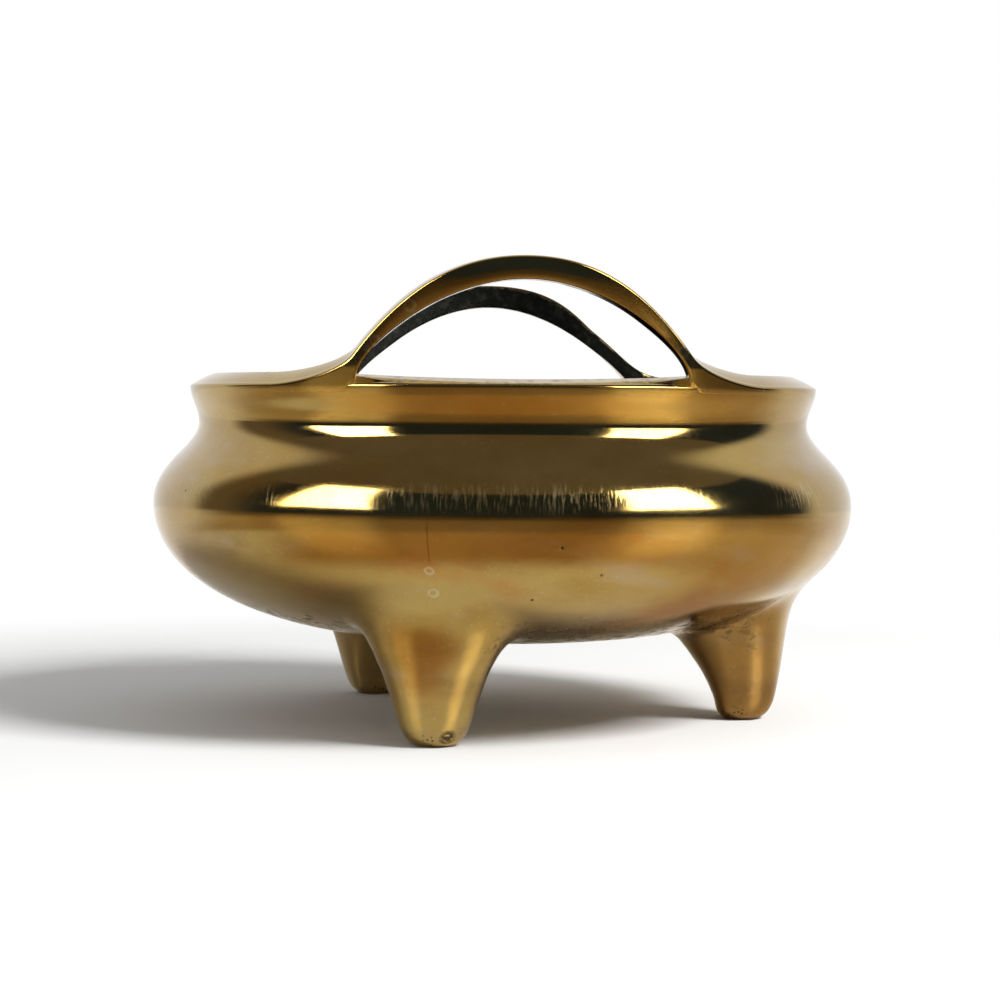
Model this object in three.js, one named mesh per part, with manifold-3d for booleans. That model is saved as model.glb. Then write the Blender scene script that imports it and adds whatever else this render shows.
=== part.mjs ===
// Tripod censer of cast brass: a round bowl with a thick sloping lip, two bridge handles let into the
// lip, and three conical feet brazed under the belly. Millimetres, +Z up. The origin is on the ground
// below the bowl's centre, the front handle stands towards -Y and the rear handle towards +Y.
import * as THREE from 'three';
import { mergeVertices } from 'three/addons/utils/BufferGeometryUtils.js';
import Module from 'manifold-3d';

const wasm = await Module();
wasm.setup();

// Bowl, outside, from the base upwards
const baseRadius = 15.9;
const baseHeight = 18.3;
const bellyRadius = 78;
const bellyHeight = 48.2;
const neckRadius = 68;
const neckHeight = 66;
const lipRadius = 70;
const lipRise = 8.2;
const lipHeight = neckHeight + lipRise;
const lipRound = 1.2;

// Bowl, walls and land: the lip's top is crowned and slopes down outwards
const bottomWall = 6;
const bellyWall = 4;
const neckWall = 4.6;
const lipWidth = 5.6;
const landRise = 2.5;

// Reach of each curve's handles, as shares of the run or rise of that stretch
const bellyCurveShares = { lowerRun: 0.58, lowerDrop: 0.6, upperRise: 0.51, upperRun: 0.31 };
const lipCurveShares = { start: 0.39, end: 0.37 };

// Points of the land from the lip's edge inwards: share of the lip's width, share of the land's rise
const landShares = [[0.07, -0.17], [0.205, 0.24], [0.52, 0.6], [0.82, 0.87], [0.95, 1], [1, 0.8]];

// Bridge handles: reaches are measured round the lip's edge from the middle, rises from the lip's edge
const frontHandle = {
  azimuth: 0,
  crownRise: 25.6, crownRun: 13.4, legReach: 35.9, legRise: 6.1, legAngle: 48.4, legRun: 18.4,
  flareRun: 5.3, toeReach: 58, toeRun: 7.3,
  archRise: 20.9, archRun: 17, cornerReach: 35.2, cornerAngle: 85, cornerRun: 6,
};
const rearHandle = {
  azimuth: 179.4,
  crownRise: 25.4, crownRun: 17, legReach: 27, legRise: 13, legAngle: 39, legRun: 5,
  flareRun: 16.5, toeReach: 58, toeRun: 20,
  archRise: 20.3, archRun: 18, cornerReach: 35.6, cornerAngle: 64, cornerRun: 3,
};
const cornerRise = 1.1;
const sillRise = 0.15;
const sillSlope = 0.5;
const handleRound = 0.7;
const handleBulge = 0.15;
const bulgeShare = 0.5;
const crownTiltShare = 0.12;

// Faces that cross the handle are radial at 0 and parallel at 1: the arch turns towards its corners
const draftShares = { leg: 0.5, corner: 1.05 };
const draftReach = 24;

// Joint of a handle: its root lies in a rebate of the lip, with a tenon in a mortise below
const rootReach = 43;
const rootDepth = 2;
const tenonLength = 3.4;
const tenonWidth = 1.6;
const tenonSpan = 4.4;
const tenonShare = 0.36;

// Feet: places round the bowl's centre in degrees from -Y towards +X
const feet = [
  { name: 'front_foot', azimuth: -18.5 },
  { name: 'right_foot', azimuth: 84 },
  { name: 'rear_foot', azimuth: -149.5 },
];
const footInset = 24.4;
const footCircleRadius = bellyRadius - footInset;
const footRadius = 10;
// Each row: height as a share of the belly's height above the foot, then reach outwards, inwards and
// sideways as shares of the foot's radius
const footShares = [
  [0, 0.43, 0.38, 0.41],
  [0.025, 0.56, 0.47, 0.545],
  [0.08, 0.69, 0.52, 0.645],
  [0.19, 0.79, 0.55, 0.75],
  [0.42, 0.9, 0.8, 0.92],
  [0.65, 0.97, 1.16, 1.1],
  [0.77, 1, 1.42, 1.235],
  [0.87, 1.03, 1.7, 1.43],
  [1.03, 1.09, 2.15, 1.9],
  [1.31, 1.15, 2.4, 2.3],
];
const spigotRadius = 4.5;
const spigotShare = 0.6;

const fit = 0.3;
const overrun = 2;

// Facets
const aroundBowl = 72;
const aroundFoot = 28;
const aroundSpigot = 20;
const lowerSteps = 10;
const upperSteps = 7;
const lipSteps = 3;
const archRungs = 22;
const sillSteps = 10;
const rebateSteps = 4;

const brass = { color: 0xb58a3e, roughness: 0.3, metalness: 1 };

function solidOf(geometry) {
  const plain = geometry.clone();
  plain.deleteAttribute('normal');
  plain.deleteAttribute('uv');
  const merged = mergeVertices(plain);
  const corners = merged.index.array;
  const triVerts = [];
  for (let i = 0; i < corners.length; i += 3) {
    const [a, b, c] = corners.slice(i, i + 3);
    if (a !== b && b !== c && c !== a) triVerts.push(a, b, c);
  }
  return new wasm.Manifold(new wasm.Mesh({
    numProp: 3,
    vertProperties: Float32Array.from(merged.attributes.position.array),
    triVerts: Uint32Array.from(triVerts),
  }));
}

function meshOf(name, solid) {
  const { vertProperties, triVerts } = solid.getMesh();
  const geometry = new THREE.BufferGeometry();
  geometry.setAttribute('position', new THREE.BufferAttribute(Float32Array.from(vertProperties), 3));
  geometry.setIndex(new THREE.BufferAttribute(Uint32Array.from(triVerts), 1));
  geometry.computeVertexNormals();
  const mesh = new THREE.Mesh(geometry, new THREE.MeshStandardMaterial(brass));
  mesh.name = name;
  return mesh;
}

// A closed body through rings of points: neighbouring rings are joined, the end rings are capped
function loft(rings) {
  const count = rings[0].length;
  const index = [];
  for (let ring = 0; ring + 1 < rings.length; ring++) {
    for (let i = 0; i < count; i++) {
      const a = ring * count + i;
      const b = ring * count + (i + 1) % count;
      index.push(a, b, b + count, a, b + count, a + count);
    }
  }
  const last = (rings.length - 1) * count;
  for (let i = 1; i + 1 < count; i++) {
    index.push(0, i + 1, i, last, last + i, last + i + 1);
  }
  const geometry = new THREE.BufferGeometry().setFromPoints(rings.flat());
  geometry.setIndex(index);
  return geometry;
}

// Turns a profile round the vertical axis; azimuth 0 is -Y
function turned(profile, steps) {
  return new THREE.LatheGeometry(profile, steps).rotateX(Math.PI / 2);
}

function atAzimuth(radius, azimuth, height) {
  return new THREE.Vector3(radius * Math.sin(azimuth), -radius * Math.cos(azimuth), height);
}

// Bowl profile

function bellyCurves(base, belly, neck) {
  const { lowerRun, lowerDrop, upperRise, upperRun } = bellyCurveShares;
  const rise = neck.y - belly.y;
  return [
    new THREE.CubicBezierCurve(
      base,
      new THREE.Vector2(base.x + lowerRun * (belly.x - base.x), base.y),
      new THREE.Vector2(belly.x, belly.y - lowerDrop * (belly.y - base.y)),
      belly,
    ),
    new THREE.CubicBezierCurve(
      belly,
      new THREE.Vector2(belly.x, belly.y + upperRise * rise),
      new THREE.Vector2(neck.x, neck.y - upperRun * rise),
      neck,
    ),
  ];
}

const [outerLower, outerUpper] = bellyCurves(
  new THREE.Vector2(baseRadius, baseHeight),
  new THREE.Vector2(bellyRadius, bellyHeight),
  new THREE.Vector2(neckRadius, neckHeight),
);
const [innerLower, innerUpper] = bellyCurves(
  new THREE.Vector2(baseRadius, baseHeight + bottomWall),
  new THREE.Vector2(bellyRadius - bellyWall, bellyHeight),
  new THREE.Vector2(neckRadius - neckWall, neckHeight),
);
const lipCurve = new THREE.CubicBezierCurve(
  new THREE.Vector2(neckRadius, neckHeight),
  new THREE.Vector2(neckRadius, neckHeight + lipCurveShares.start * (lipHeight - lipRound - neckHeight)),
  new THREE.Vector2(lipRadius, lipHeight - lipRound - lipCurveShares.end * (lipHeight - lipRound - neckHeight)),
  new THREE.Vector2(lipRadius, lipHeight - lipRound),
);

// Points of a curve, moved outwards by a distance
function offsetPoints(curve, steps, distance) {
  return Array.from({ length: steps + 1 }, (_, i) => {
    const point = curve.getPoint(i / steps);
    const along = curve.getTangent(i / steps);
    return new THREE.Vector2(point.x + along.y * distance, point.y - along.x * distance);
  });
}

// Height of a curve above a reach, where the curve runs outwards all the way
function heightAt(curve, reach) {
  return curve.getPoint(shareAt(curve, reach)).y;
}

function shareAt(curve, reach) {
  let low = 0;
  let high = 1;
  const halvings = 40;
  for (let i = 0; i < halvings; i++) {
    const middle = (low + high) / 2;
    if (curve.getPoint(middle).x < reach) low = middle;
    else high = middle;
  }
  return low;
}

// Handle outline, unrolled: reach along the lip's edge against height

function direction(degrees) {
  const angle = THREE.MathUtils.degToRad(degrees);
  return new THREE.Vector2(Math.cos(angle), -Math.sin(angle));
}

function handleTop(handle) {
  const crown = new THREE.Vector2(0, lipHeight + handle.crownRise);
  const leg = new THREE.Vector2(handle.legReach, lipHeight + handle.legRise);
  const toe = new THREE.Vector2(handle.toeReach, lipHeight);
  const down = direction(handle.legAngle);
  const path = new THREE.CurvePath();
  path.add(new THREE.CubicBezierCurve(
    crown,
    new THREE.Vector2(handle.crownRun, crown.y),
    leg.clone().addScaledVector(down, -handle.legRun),
    leg,
  ));
  path.add(new THREE.CubicBezierCurve(
    leg,
    leg.clone().addScaledVector(down, handle.flareRun),
    new THREE.Vector2(toe.x - handle.toeRun, toe.y),
    toe,
  ));
  return path;
}

function handleArch(handle) {
  const crown = new THREE.Vector2(0, lipHeight + handle.archRise);
  const corner = new THREE.Vector2(handle.cornerReach, lipHeight + cornerRise);
  return new THREE.CubicBezierCurve(
    crown,
    new THREE.Vector2(handle.archRun, crown.y),
    corner.clone().addScaledVector(direction(handle.cornerAngle), -handle.cornerRun),
    corner,
  );
}

// The handle's top leans outwards: its inner edge stands higher, most at the root
function tiltAt(handle, reach) {
  const grown = THREE.MathUtils.smoothstep(Math.abs(reach), 0, handle.toeReach);
  return landRise * THREE.MathUtils.lerp(crownTiltShare, 1, grown);
}

function draftAt({ cornerReach }, reach) {
  const away = Math.abs(reach);
  const before = THREE.MathUtils.smoothstep(away, draftReach, cornerReach);
  const after = THREE.MathUtils.smoothstep(away, cornerReach, rootReach);
  return THREE.MathUtils.lerp(draftShares.leg, draftShares.corner, before - after);
}

// A point of a handle: reach round the lip's edge, depth inwards from the outer face, height
function onHandle(handle, reach, depth, height, draft = draftAt(handle, reach)) {
  const turn = reach / (lipRadius - draft * depth);
  return atAzimuth(lipRadius - depth, THREE.MathUtils.degToRad(handle.azimuth) + turn, height);
}

// A body that follows the lip: section(reach) gives its corners as [depth, height] pairs
function alongLip(handle, from, to, steps, section) {
  return loft(Array.from({ length: steps + 1 }, (_, i) => {
    const reach = THREE.MathUtils.lerp(from, to, i / steps);
    return section(reach).map(([depth, height]) => onHandle(handle, reach, depth, height));
  }));
}

function boxSection(outerDepth, innerDepth, bottom, top) {
  return [[outerDepth, bottom], [innerDepth, bottom], [innerDepth, top], [outerDepth, top]];
}

// Bowl

function bowlProfile() {
  return {
    outside: [
      new THREE.Vector2(0, baseHeight),
      ...offsetPoints(outerLower, lowerSteps, 0),
      ...offsetPoints(outerUpper, upperSteps, 0).slice(1),
      ...offsetPoints(lipCurve, lipSteps, 0).slice(1),
    ],
    lip: landShares.map(([across, rise]) =>
      new THREE.Vector2(lipRadius - across * lipWidth, lipHeight + rise * landRise)),
    inside: [
      ...offsetPoints(innerUpper, upperSteps, 0).reverse(),
      ...offsetPoints(innerLower, lowerSteps, 0).reverse().slice(1),
      new THREE.Vector2(0, baseHeight + bottomWall),
    ],
  };
}

// Lifts the lip where the handles' toes rise out of it, up to where the roots are let in
function raiseToes(geometry, profile, firstLipPoint, lipPoints) {
  const position = geometry.attributes.position;
  for (const handle of [frontHandle, rearHandle]) {
    const top = handleTop(handle);
    for (let i = 0; i < position.count; i++) {
      const onLip = i % profile.length - firstLipPoint;
      if (onLip < 0 || onLip >= lipPoints) continue;
      const point = new THREE.Vector3().fromBufferAttribute(position, i);
      const azimuth = Math.atan2(point.x, -point.y) - THREE.MathUtils.degToRad(handle.azimuth);
      const turn = Math.abs(Math.atan2(Math.sin(azimuth), Math.cos(azimuth)));
      const depth = lipRadius - Math.hypot(point.x, point.y);
      const reach = turn * (lipRadius - draftShares.leg * depth);
      if (reach >= handle.toeReach) continue;
      const toe = Math.max(reach, rootReach);
      const edgeLift = heightOnTop(top, toe) - lipHeight;
      const tiltLift = (tiltAt(handle, toe) - landRise) * (depth / lipWidth);
      position.setZ(i, point.z + Math.max(edgeLift + tiltLift, 0));
    }
  }
}

// Height of a handle's top edge above a reach
function heightOnTop(top, reach) {
  const [crownCurve, flareCurve] = top.curves;
  return heightAt(reach < crownCurve.v3.x ? crownCurve : flareCurve, reach);
}

function sillCut(handle) {
  const { cornerReach } = handle;
  const high = lipHeight + landRise + overrun + handle.legRise;
  return alongLip(handle, -cornerReach, cornerReach, sillSteps, (reach) => {
    const curl = (cornerRise - sillRise) * (reach / cornerReach) ** 2;
    const edgeHeight = lipHeight + sillRise + curl;
    const slope = sillSlope / lipWidth;
    return [
      [-overrun, edgeHeight - slope * overrun],
      [lipWidth + overrun, edgeHeight + slope * (lipWidth + overrun)],
      [lipWidth + overrun, high],
      [-overrun, high],
    ];
  });
}

function rebateCut(handle, side) {
  const floor = lipHeight - rootDepth - fit;
  const high = lipHeight + landRise + overrun + handle.legRise;
  const from = side * (handle.cornerReach - fit);
  const to = side * (rootReach + fit);
  return alongLip(handle, Math.min(from, to), Math.max(from, to), rebateSteps,
    () => boxSection(-overrun, lipWidth + overrun, floor, high));
}

// The tenons stand between the neck's outer face and the lip's inner edge
const tenonDepth = THREE.MathUtils.lerp(lipRadius - neckRadius, lipWidth, tenonShare);

function tenon(handle, side, clearance, top) {
  const middle = side * (handle.cornerReach + rootReach) / 2;
  const half = tenonSpan / 2 + clearance;
  const thick = tenonWidth / 2 + clearance;
  const bottom = lipHeight - rootDepth - tenonLength - clearance;
  return alongLip(handle, middle - half, middle + half, rebateSteps,
    () => boxSection(tenonDepth - thick, tenonDepth + thick, bottom, top));
}

function footPlace({ azimuth }, height) {
  return atAzimuth(footCircleRadius, THREE.MathUtils.degToRad(azimuth), height);
}

const seatHeight = heightAt(outerLower, footCircleRadius);
const spigotTop = THREE.MathUtils.lerp(seatHeight, heightAt(innerLower, footCircleRadius), spigotShare);

function spigot(foot, radius, bottom, top) {
  return solidOf(new THREE.CylinderGeometry(radius, radius, top - bottom, aroundSpigot)
    .rotateX(Math.PI / 2)
    .translate(...footPlace(foot, (bottom + top) / 2).toArray()));
}

function makeBowl() {
  const { outside, lip, inside } = bowlProfile();
  const profile = [...outside, ...lip, ...inside];
  const geometry = turned(profile, aroundBowl);
  raiseToes(geometry, profile, outside.length, lip.length);
  let bowl = solidOf(geometry);
  const mortiseTop = lipHeight;
  for (const handle of [frontHandle, rearHandle]) {
    bowl = bowl.subtract(solidOf(sillCut(handle)));
    for (const side of [-1, 1]) {
      bowl = bowl.subtract(solidOf(rebateCut(handle, side)));
      bowl = bowl.subtract(solidOf(tenon(handle, side, fit, mortiseTop)));
    }
  }
  for (const foot of feet) {
    bowl = bowl.subtract(spigot(foot, spigotRadius + fit, baseHeight - overrun, spigotTop + fit));
  }
  return meshOf('bowl', bowl);
}

// Handles

// Corners of the section between a point under the handle and one on top, rounded and slightly bowed
function rung(handle, bottom, top) {
  const height = top.y - bottom.y;
  const length = Math.hypot(top.x - bottom.x, height);
  const share = handleRound / length;
  const tilt = tiltAt(handle, top.x);
  const bottomDraft = draftAt(handle, bottom.x);
  const corners = [
    [handleRound, 0], [lipWidth - handleRound, 0], [lipWidth, share], [lipWidth, 1 - share],
    [lipWidth - handleRound, 1], [handleRound, 1], [0, 1 - share], [-handleBulge, bulgeShare], [0, share],
  ];
  return corners.map(([depth, rise]) => onHandle(
    handle,
    THREE.MathUtils.lerp(bottom.x, top.x, rise),
    depth,
    THREE.MathUtils.lerp(bottom.y, top.y, rise) + tilt * rise * (depth / lipWidth),
    THREE.MathUtils.lerp(bottomDraft, draftShares.leg, rise),
  ));
}

function handleRungs(handle) {
  const top = handleTop(handle);
  const arch = handleArch(handle);
  const rootBase = lipHeight - rootDepth;
  const { cornerReach } = handle;
  const shoulder = (cornerReach + rootReach) / 2;
  const topPoint = (reach) => new THREE.Vector2(reach, heightOnTop(top, reach));
  const rungs = [
    [new THREE.Vector2(rootReach, rootBase), topPoint(rootReach)],
    [new THREE.Vector2(shoulder, rootBase), topPoint((shoulder + rootReach) / 2)],
    [new THREE.Vector2(cornerReach, rootBase), topPoint(shoulder)],
  ];
  for (let i = archRungs; i >= 0; i--) {
    rungs.push([arch.getPointAt(i / archRungs), topPoint(i / archRungs * (shoulder - fit))]);
  }
  return rungs;
}

function makeHandle(name, handle) {
  const half = handleRungs(handle);
  const mirrored = half.slice(0, -1).reverse();
  const flip = (point) => new THREE.Vector2(-point.x, point.y);
  const rings = [
    ...half.map(([bottom, top]) => rung(handle, flip(bottom), flip(top))),
    ...mirrored.map(([bottom, top]) => rung(handle, bottom, top)),
  ];
  let body = solidOf(loft(rings));
  for (const side of [-1, 1]) {
    body = body.add(solidOf(tenon(handle, side, 0, lipHeight - rootDepth + handleRound)));
  }
  return meshOf(name, body);
}

// Feet

function footRing(foot, [level, outward, inward, sideways]) {
  const azimuth = THREE.MathUtils.degToRad(foot.azimuth);
  const centre = footPlace(foot, level * seatHeight);
  const out = atAzimuth(footRadius, azimuth, 0);
  const across = atAzimuth(footRadius, azimuth + Math.PI / 2, 0);
  return Array.from({ length: aroundFoot }, (_, i) => {
    const angle = (i / aroundFoot) * Math.PI * 2;
    const reach = Math.cos(angle) * (Math.cos(angle) > 0 ? outward : inward);
    return centre.clone()
      .addScaledVector(out, reach)
      .addScaledVector(across, Math.sin(angle) * sideways);
  });
}

// The space that the bowl's outside fills, grown by the clearance: it cuts each foot's saddle
function bowlSpace() {
  const profile = [
    new THREE.Vector2(0, baseHeight - fit),
    ...offsetPoints(outerLower, lowerSteps, fit),
    ...offsetPoints(outerUpper, upperSteps, fit).slice(1),
    new THREE.Vector2(0, neckHeight),
  ];
  return solidOf(turned(profile, aroundBowl));
}

function makeFoot(foot) {
  const body = solidOf(loft(footShares.map((row) => footRing(foot, row))));
  const neck = spigot(foot, spigotRadius, seatHeight / 2, spigotTop);
  return meshOf(foot.name, body.subtract(bowlSpace()).add(neck));
}

const censer = new THREE.Group();
censer.name = 'tripod_censer';
censer.add(
  makeBowl(),
  makeHandle('front_handle', frontHandle),
  makeHandle('rear_handle', rearHandle),
  ...feet.map(makeFoot),
);

export default censer;
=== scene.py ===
from functools import partial
from math import cos, hypot, pi, radians, sin, tan

import bmesh
import bpy
import numpy as np
from mathutils import Matrix, Vector


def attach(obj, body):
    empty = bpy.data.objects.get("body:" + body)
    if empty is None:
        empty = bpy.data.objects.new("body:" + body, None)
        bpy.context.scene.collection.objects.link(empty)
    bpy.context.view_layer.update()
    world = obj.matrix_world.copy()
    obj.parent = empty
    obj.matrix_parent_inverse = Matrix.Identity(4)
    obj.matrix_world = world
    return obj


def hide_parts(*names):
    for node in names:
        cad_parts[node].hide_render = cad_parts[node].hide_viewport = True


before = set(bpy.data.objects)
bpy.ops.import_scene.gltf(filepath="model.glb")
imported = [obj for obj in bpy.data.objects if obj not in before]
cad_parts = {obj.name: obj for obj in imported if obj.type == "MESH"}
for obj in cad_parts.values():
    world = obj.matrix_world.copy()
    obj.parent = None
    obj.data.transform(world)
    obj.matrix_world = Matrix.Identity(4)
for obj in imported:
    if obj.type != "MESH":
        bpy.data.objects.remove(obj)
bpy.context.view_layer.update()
mm = 0.001  # every size below is in millimetres, every mesh in metres


# camera: where the picture was taken from, in mm from the bowl's axis and the ground, turned in degrees

cameraPlace = {
    "azimuth": -3.83, "distance": 576.8, "height": 69.9, "pitch": 2.104, "yaw": 0.052, "roll": 0.391,
    "lens": 92.077, "sensor": 36.0, "near": 0.01, "far": 20,
}


def turnedAbout(angle, x, y, z=0.0):
    a = radians(angle)
    return Vector((x * cos(a) - y * sin(a), x * sin(a) + y * cos(a), z))


def newObject(name, data):
    thing = bpy.data.objects.new(name, data)
    bpy.context.scene.collection.objects.link(thing)
    return thing


def makeCamera(place):
    heading = place["azimuth"] + place["yaw"]
    pitch, roll = radians(place["pitch"]), radians(place["roll"])
    level = turnedAbout(heading, 0, 1)
    right = turnedAbout(heading, 1, 0)
    forward = level * cos(pitch) - Vector((0, 0, sin(pitch)))
    up = level * sin(pitch) + Vector((0, 0, cos(pitch)))
    tiltedRight = right * cos(roll) + up * sin(roll)
    tiltedUp = up * cos(roll) - right * sin(roll)
    data = bpy.data.cameras.new("camera")
    data.lens, data.sensor_width = place["lens"], place["sensor"]
    data.clip_start, data.clip_end = place["near"], place["far"]
    camera = newObject("camera", data)
    stand = turnedAbout(place["azimuth"], 0, -place["distance"] * mm, place["height"] * mm)
    axes = Matrix((tiltedRight, tiltedUp, -forward)).transposed()
    camera.matrix_world = Matrix.Translation(stand) @ axes.to_4x4()
    bpy.context.scene.camera = camera


makeCamera(cameraPlace)
print("camera placed")


# small helpers for materials, with the settings that many nodes share

plus, minus, multiply, multiplyAdd, divide, larger, lessThan, scaling = ({"operation": name} for name in (
    "ADD", "SUBTRACT", "MULTIPLY", "MULTIPLY_ADD", "DIVIDE", "MAXIMUM", "LESS_THAN", "SCALE"))
smoothly, inColour = {"interpolation_type": "SMOOTHSTEP"}, {"data_type": "RGBA"}
white, black = (1, 1, 1, 1), (0, 0, 0, 1)


def colour(hexValue):
    channels = [int(hexValue[i:i + 2], 16) / 255 for i in (1, 3, 5)]
    linear = [c / 12.92 if c <= 0.04045 else ((c + 0.055) / 1.055) ** 2.4 for c in channels]
    return (*linear, 1)


def addNode(tree, kind, settings=None, **inputs):
    node = tree.nodes.new(kind)
    for name, value in (settings or {}).items():
        setattr(node, name, value)
    for name, given in inputs.items():  # _0 is an input's number, From_Min its name; None leaves it alone
        socket = node.inputs[int(name[1:]) if name[0] == "_" else name.replace("_", " ")]
        if isinstance(given, bpy.types.Node):
            given = next(output for output in given.outputs if output.enabled)
        if isinstance(given, bpy.types.NodeSocket):
            tree.links.new(given, socket)
        elif given is not None:
            socket.default_value = given
    return node


def newMaterial(name):
    material = bpy.data.materials.new(name)
    material.use_nodes = True
    material.node_tree.nodes.clear()
    return material, partial(addNode, material.node_tree)


# studio: pale round table, white surround behind the object, dark room and two soft boxes in front

studio = {
    "tableRadius": 950, "shadowZone": 170, "whiteFrom": 300, "tableColour": "#F8F8F7", "tableSides": 180,
    "surroundForShadows": 0.43,
    "roomRadius": 1500, "roomFrom": -114, "roomTo": 114, "roomBottom": -700, "roomTop": 1350, "roomFade": 7,
    "roomGlow": (0.036, 0.051, 0.088), "sideGlow": (0.22, 0.18, 0.15), "sideFrom": -79, "sideTo": -103,
    "ceilingGlow": (0.21, 0.19, 0.19), "ceilingSteps": (250, 500), "wallSteps": 96,
    # film in the metal's view of the table, browner and with painted shade in front and far out: azimuths from, to and
    # fade, then distances in mm
    "filmFar": (-100, 108, 16), "filmMiddle": (-57, 47, 14), "filmSide": (47, 104, 16),
    "filmOut": (165, 205), "filmIn": (78, 106), "filmDim": (360, 620, 0.3), "filmNear": 24, "filmHeight": 0.3,
    "filmMiddleTint": (0.55, 0.34, 0.17), "filmSideTint": (0.69, 0.55, 0.41), "filmFarTint": (0.60, 0.46, 0.31),
    "filmFrontTint": (0.34, 0.24, 0.15),
    "filmSheen": (0.15, 0.132, 0.094), "filmSheenFront": (0.115, 0.098, 0.068), "filmRoughness": 0.38,
}
# soft boxes seen in the metal, by the azimuths of their low and high edges; the lamp that lights like the right one
softBoxes = {
    "left": {"low": (-73, -41), "high": (-71, -46), "rise": (8, 43)},
    "right": {"low": (39, 69), "high": (43, 70), "rise": (9, 43)},
}
keyLamp = {"azimuth": 55, "wide": 20, "rise": (32, 49), "power": 13.6}
boxCloth, boxShine, boxSteps = (1, 1, 0.96), 13.0, 12  # colour, strength, steps up the curve
boxDistance, boxMiddle = 1100, 50  # in mm: how far they stand from the middle that they face, and its height


def meshObject(name, vertices, faces, material, smooth=False):
    mesh = bpy.data.meshes.new(name)
    mesh.from_pydata([tuple(v) for v in vertices], [], [tuple(f) for f in faces])
    mesh.materials.append(material)
    if smooth:
        mesh.polygons.foreach_set("use_smooth", [True] * len(mesh.polygons))
    mesh.update()
    return newObject(name, mesh)


def onlyInReflections(thing):
    for ray in ("camera", "diffuse", "transmission", "shadow", "volume_scatter"):
        setattr(thing, "visible_" + ray, False)


def lookRays(add):  # 1 for rays that see the background, 0 for those that light the table by way of the metal
    rays = add("ShaderNodeLightPath").outputs
    seen = add("ShaderNodeMath", larger, _0=rays["Is Camera Ray"], _1=rays["Is Glossy Ray"])
    seen = add("ShaderNodeMath", larger, _0=seen, _1=rays["Is Transmission Ray"])
    direct = add("ShaderNodeMath", lessThan, _0=rays["Diffuse Depth"], _1=0.5)
    return add("ShaderNodeMath", multiply, _0=seen, _1=direct)


def glowMaterial(name, glow, strength):
    material, add = newMaterial(name)
    power = add("ShaderNodeMath", multiply, _0=lookRays(add), _1=strength)
    add("ShaderNodeOutputMaterial", Surface=add("ShaderNodeEmission", Color=(*glow, 1), Strength=power))
    return material


def makeSurround(values):
    world = bpy.data.worlds.new("surround")
    bpy.context.scene.world = world
    world.use_nodes = True
    world.node_tree.nodes.clear()
    add = partial(addNode, world.node_tree)
    strength = add("ShaderNodeMapRange", Value=lookRays(add), To_Min=values["surroundForShadows"], To_Max=1.0)
    add("ShaderNodeOutputWorld", Surface=add("ShaderNodeBackground", Color=white, Strength=strength))


def fromCentre(add):  # distance in metres of the spot that is shaded
    return add("ShaderNodeVectorMath", {"operation": "LENGTH"}, _0=add("ShaderNodeTexCoord").outputs["Object"])


def makeTable(values):
    material, add = newMaterial("matte white table top")  # no gloss, so that only the shadow shows on it
    far = add("ShaderNodeMapRange", smoothly, Value=fromCentre(add), From_Min=values["shadowZone"] * mm,
              From_Max=values["whiteFrom"] * mm)
    share = add("ShaderNodeMath", multiply, _0=far, _1=lookRays(add))
    matte = add("ShaderNodeBsdfDiffuse", Color=colour(values["tableColour"]))
    mixed = add("ShaderNodeMixShader", Fac=share, _1=matte, _2=add("ShaderNodeEmission", Color=white))
    oneSided = add("ShaderNodeMixShader", Fac=add("ShaderNodeNewGeometry").outputs["Backfacing"],
                   _1=mixed, _2=add("ShaderNodeBsdfTransparent"))
    add("ShaderNodeOutputMaterial", Surface=oneSided)
    around = values["tableSides"]
    ring = [turnedAbout(360 * i / around, values["tableRadius"] * mm, 0) for i in range(around)]
    faces = [(around, i, (i + 1) % around) for i in range(around)]
    meshObject("table", ring + [Vector((0, 0, 0))], faces, material)


def towards(add):  # azimuth in degrees of the spot that is shaded, seen from the bowl's centre
    place = add("ShaderNodeSeparateXYZ", Vector=add("ShaderNodeTexCoord").outputs["Object"]).outputs
    back = add("ShaderNodeMath", multiply, _0=place["Y"], _1=-1.0)
    angle = add("ShaderNodeMath", {"operation": "ARCTAN2"}, _0=place["X"], _1=back)
    return add("ShaderNodeMath", {"operation": "DEGREES"}, _0=angle)


def window(add, value, low, high, fade):  # 1 between low and high, fading to 0 outside
    rise, fall = (add("ShaderNodeMapRange", smoothly, Value=value, From_Min=edge - fade, From_Max=edge + fade,
                      To_Min=first, To_Max=1 - first) for edge, first in ((low, 0), (high, 1)))
    return add("ShaderNodeMath", multiply, _0=rise, _1=fall)


def arcWall(name, radii, heights, start, stop, material, steps):
    vertices, faces = [], []
    for i in range(steps + 1):
        a = radians(start + (stop - start) * i / steps)
        for radius, height in zip(radii, heights):
            vertices.append((radius * mm * sin(a), -radius * mm * cos(a), height * mm))
    rows = len(radii)
    for i in range(steps):
        for j in range(rows - 1):
            a = i * rows + j
            faces.append((a, a + rows, a + rows + 1, a + 1))
    onlyInReflections(meshObject(name, vertices, faces, material))


def wallMaterial(name, glow, sideGlow, side, start, stop, fade):
    material, add = newMaterial(name)
    azimuth = towards(add)
    aside = add("ShaderNodeMapRange", smoothly, Value=azimuth, From_Min=side[0], From_Max=side[1])
    shade = add("ShaderNodeMix", inColour, _0=aside, _6=(*glow, 1), _7=(*sideGlow, 1))
    mixed = add("ShaderNodeMixShader", Fac=window(add, azimuth, start, stop, fade),
                _1=add("ShaderNodeBsdfTransparent"), _2=add("ShaderNodeEmission", Color=shade))
    add("ShaderNodeOutputMaterial", Surface=mixed)
    return material


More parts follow.
